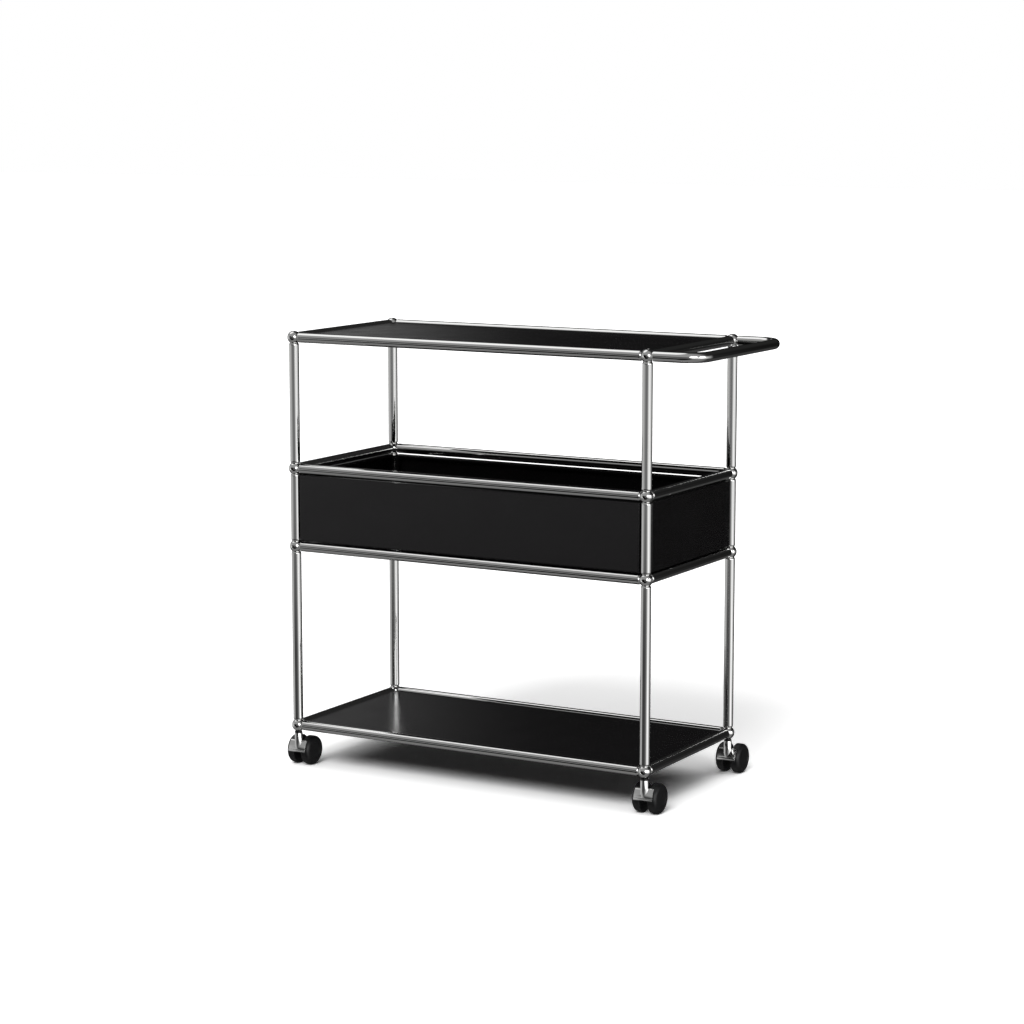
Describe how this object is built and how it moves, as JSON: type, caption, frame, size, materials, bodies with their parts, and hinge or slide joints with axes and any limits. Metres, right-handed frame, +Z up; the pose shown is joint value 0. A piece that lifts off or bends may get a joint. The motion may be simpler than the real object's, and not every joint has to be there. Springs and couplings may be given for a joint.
{
  "type": "storage trolley",
  "caption": "Wheeled storage trolley: chromed tube frame on ball connectors, black panels as shelves and an open tray, a push handle on one end, and swivel castors.",
  "frame": {"origin": "on the floor, at the middle of the box round the trolley at rest", "axes": "+X towards the push handle, +Y to the back, +Z up; the castors trail towards +Y at rest"},
  "size_m": [0.8846, 0.4118, 0.8427],
  "materials": {
    "chrome": "polished chrome plate",
    "black_powder_coat": "smooth semi-gloss black powder coat",
    "black_nylon": "moulded satin",
    "steel": "turned",
    "spring_steel": "rolled"
  },
  "bodies": {
    "frame": {"post_front_left_lower": "chrome", "post_front_left_middle": "chrome", "post_front_left_upper": "chrome", "post_front_right_lower": "chrome", "post_front_right_middle": "chrome", "post_front_right_upper": "chrome", "post_back_left_lower": "chrome", "post_back_left_middle": "chrome", "post_back_left_upper": "chrome", "post_back_right_lower": "chrome", "post_back_right_middle": "chrome", "post_back_right_upper": "chrome", "rail_front_base": "chrome", "rail_back_base": "chrome", "rail_left_base": "chrome", "rail_right_base": "chrome", "rail_front_tray_floor": "chrome", "rail_back_tray_floor": "chrome", "rail_left_tray_floor": "chrome", "rail_right_tray_floor": "chrome", "rail_front_tray_rim": "chrome", "rail_back_tray_rim": "chrome", "rail_left_tray_rim": "chrome", "rail_right_tray_rim": "chrome", "rail_front_top": "chrome", "rail_back_top": "chrome", "rail_left_top": "chrome", "rail_right_top": "chrome", "ball_connectors_top": "chrome", "ball_connectors_tray_rim": "chrome", "ball_connectors_tray_floor": "chrome", "ball_connectors_base": "chrome", "handle": "chrome", "top_panel": "black_powder_coat", "base_panel": "black_powder_coat", "tray_floor_panel": "black_powder_coat", "tray_front_panel": "black_powder_coat", "tray_back_panel": "black_powder_coat", "tray_left_panel": "black_powder_coat", "tray_right_panel": "black_powder_coat", "panel_clips": "spring_steel", "castor_stems": "steel", "castor_collars": "black_nylon"},
    "front_left_castor": {"front_left_castor_housing": "chrome", "front_left_castor_axle": "steel"},
    "front_left_castor_left_wheel": {"front_left_castor_left_wheel": "black_nylon"},
    "front_left_castor_right_wheel": {"front_left_castor_right_wheel": "black_nylon"},
    "front_right_castor": {"front_right_castor_housing": "chrome", "front_right_castor_axle": "steel"},
    "front_right_castor_left_wheel": {"front_right_castor_left_wheel": "black_nylon"},
    "front_right_castor_right_wheel": {"front_right_castor_right_wheel": "black_nylon"},
    "back_left_castor": {"back_left_castor_housing": "chrome", "back_left_castor_axle": "steel"},
    "back_left_castor_left_wheel": {"back_left_castor_left_wheel": "black_nylon"},
    "back_left_castor_right_wheel": {"back_left_castor_right_wheel": "black_nylon"},
    "back_right_castor": {"back_right_castor_housing": "chrome", "back_right_castor_axle": "steel"},
    "back_right_castor_left_wheel": {"back_right_castor_left_wheel": "black_nylon"},
    "back_right_castor_right_wheel": {"back_right_castor_right_wheel": "black_nylon"}
  },
  "joints": [
    {"name": "front_left_castor_swivel", "type": "hinge", "parent": "frame", "child": "front_left_castor", "pos_m": [-0.41725, -0.19363, 0.028], "axis": [0, 0, 1], "continuous": true},
    {"name": "front_left_castor_left_wheel_spin", "type": "hinge", "parent": "front_left_castor", "child": "front_left_castor_left_wheel", "pos_m": [-0.41725, -0.17213, 0.028], "axis": [1, 0, 0], "continuous": true},
    {"name": "front_left_castor_right_wheel_spin", "type": "hinge", "parent": "front_left_castor", "child": "front_left_castor_right_wheel", "pos_m": [-0.41725, -0.17213, 0.028], "axis": [1, 0, 0], "continuous": true},
    {"name": "front_right_castor_swivel", "type": "hinge", "parent": "frame", "child": "front_right_castor", "pos_m": [0.33275, -0.19363, 0.028], "axis": [0, 0, 1], "continuous": true},
    {"name": "front_right_castor_left_wheel_spin", "type": "hinge", "parent": "front_right_castor", "child": "front_right_castor_left_wheel", "pos_m": [0.33275, -0.17213, 0.028], "axis": [1, 0, 0], "continuous": true},
    {"name": "front_right_castor_right_wheel_spin", "type": "hinge", "parent": "front_right_castor", "child": "front_right_castor_right_wheel", "pos_m": [0.33275, -0.17213, 0.028], "axis": [1, 0, 0], "continuous": true},
    {"name": "back_left_castor_swivel", "type": "hinge", "parent": "frame", "child": "back_left_castor", "pos_m": [-0.41725, 0.15637, 0.028], "axis": [0, 0, 1], "continuous": true},
    {"name": "back_left_castor_left_wheel_spin", "type": "hinge", "parent": "back_left_castor", "child": "back_left_castor_left_wheel", "pos_m": [-0.41725, 0.17787, 0.028], "axis": [1, 0, 0], "continuous": true},
    {"name": "back_left_castor_right_wheel_spin", "type": "hinge", "parent": "back_left_castor", "child": "back_left_castor_right_wheel", "pos_m": [-0.41725, 0.17787, 0.028], "axis": [1, 0, 0], "continuous": true},
    {"name": "back_right_castor_swivel", "type": "hinge", "parent": "frame", "child": "back_right_castor", "pos_m": [0.33275, 0.15637, 0.028], "axis": [0, 0, 1], "continuous": true},
    {"name": "back_right_castor_left_wheel_spin", "type": "hinge", "parent": "back_right_castor", "child": "back_right_castor_left_wheel", "pos_m": [0.33275, 0.17787, 0.028], "axis": [1, 0, 0], "continuous": true},
    {"name": "back_right_castor_right_wheel_spin", "type": "hinge", "parent": "back_right_castor", "child": "back_right_castor_right_wheel", "pos_m": [0.33275, 0.17787, 0.028], "axis": [1, 0, 0], "continuous": true}
  ]
}
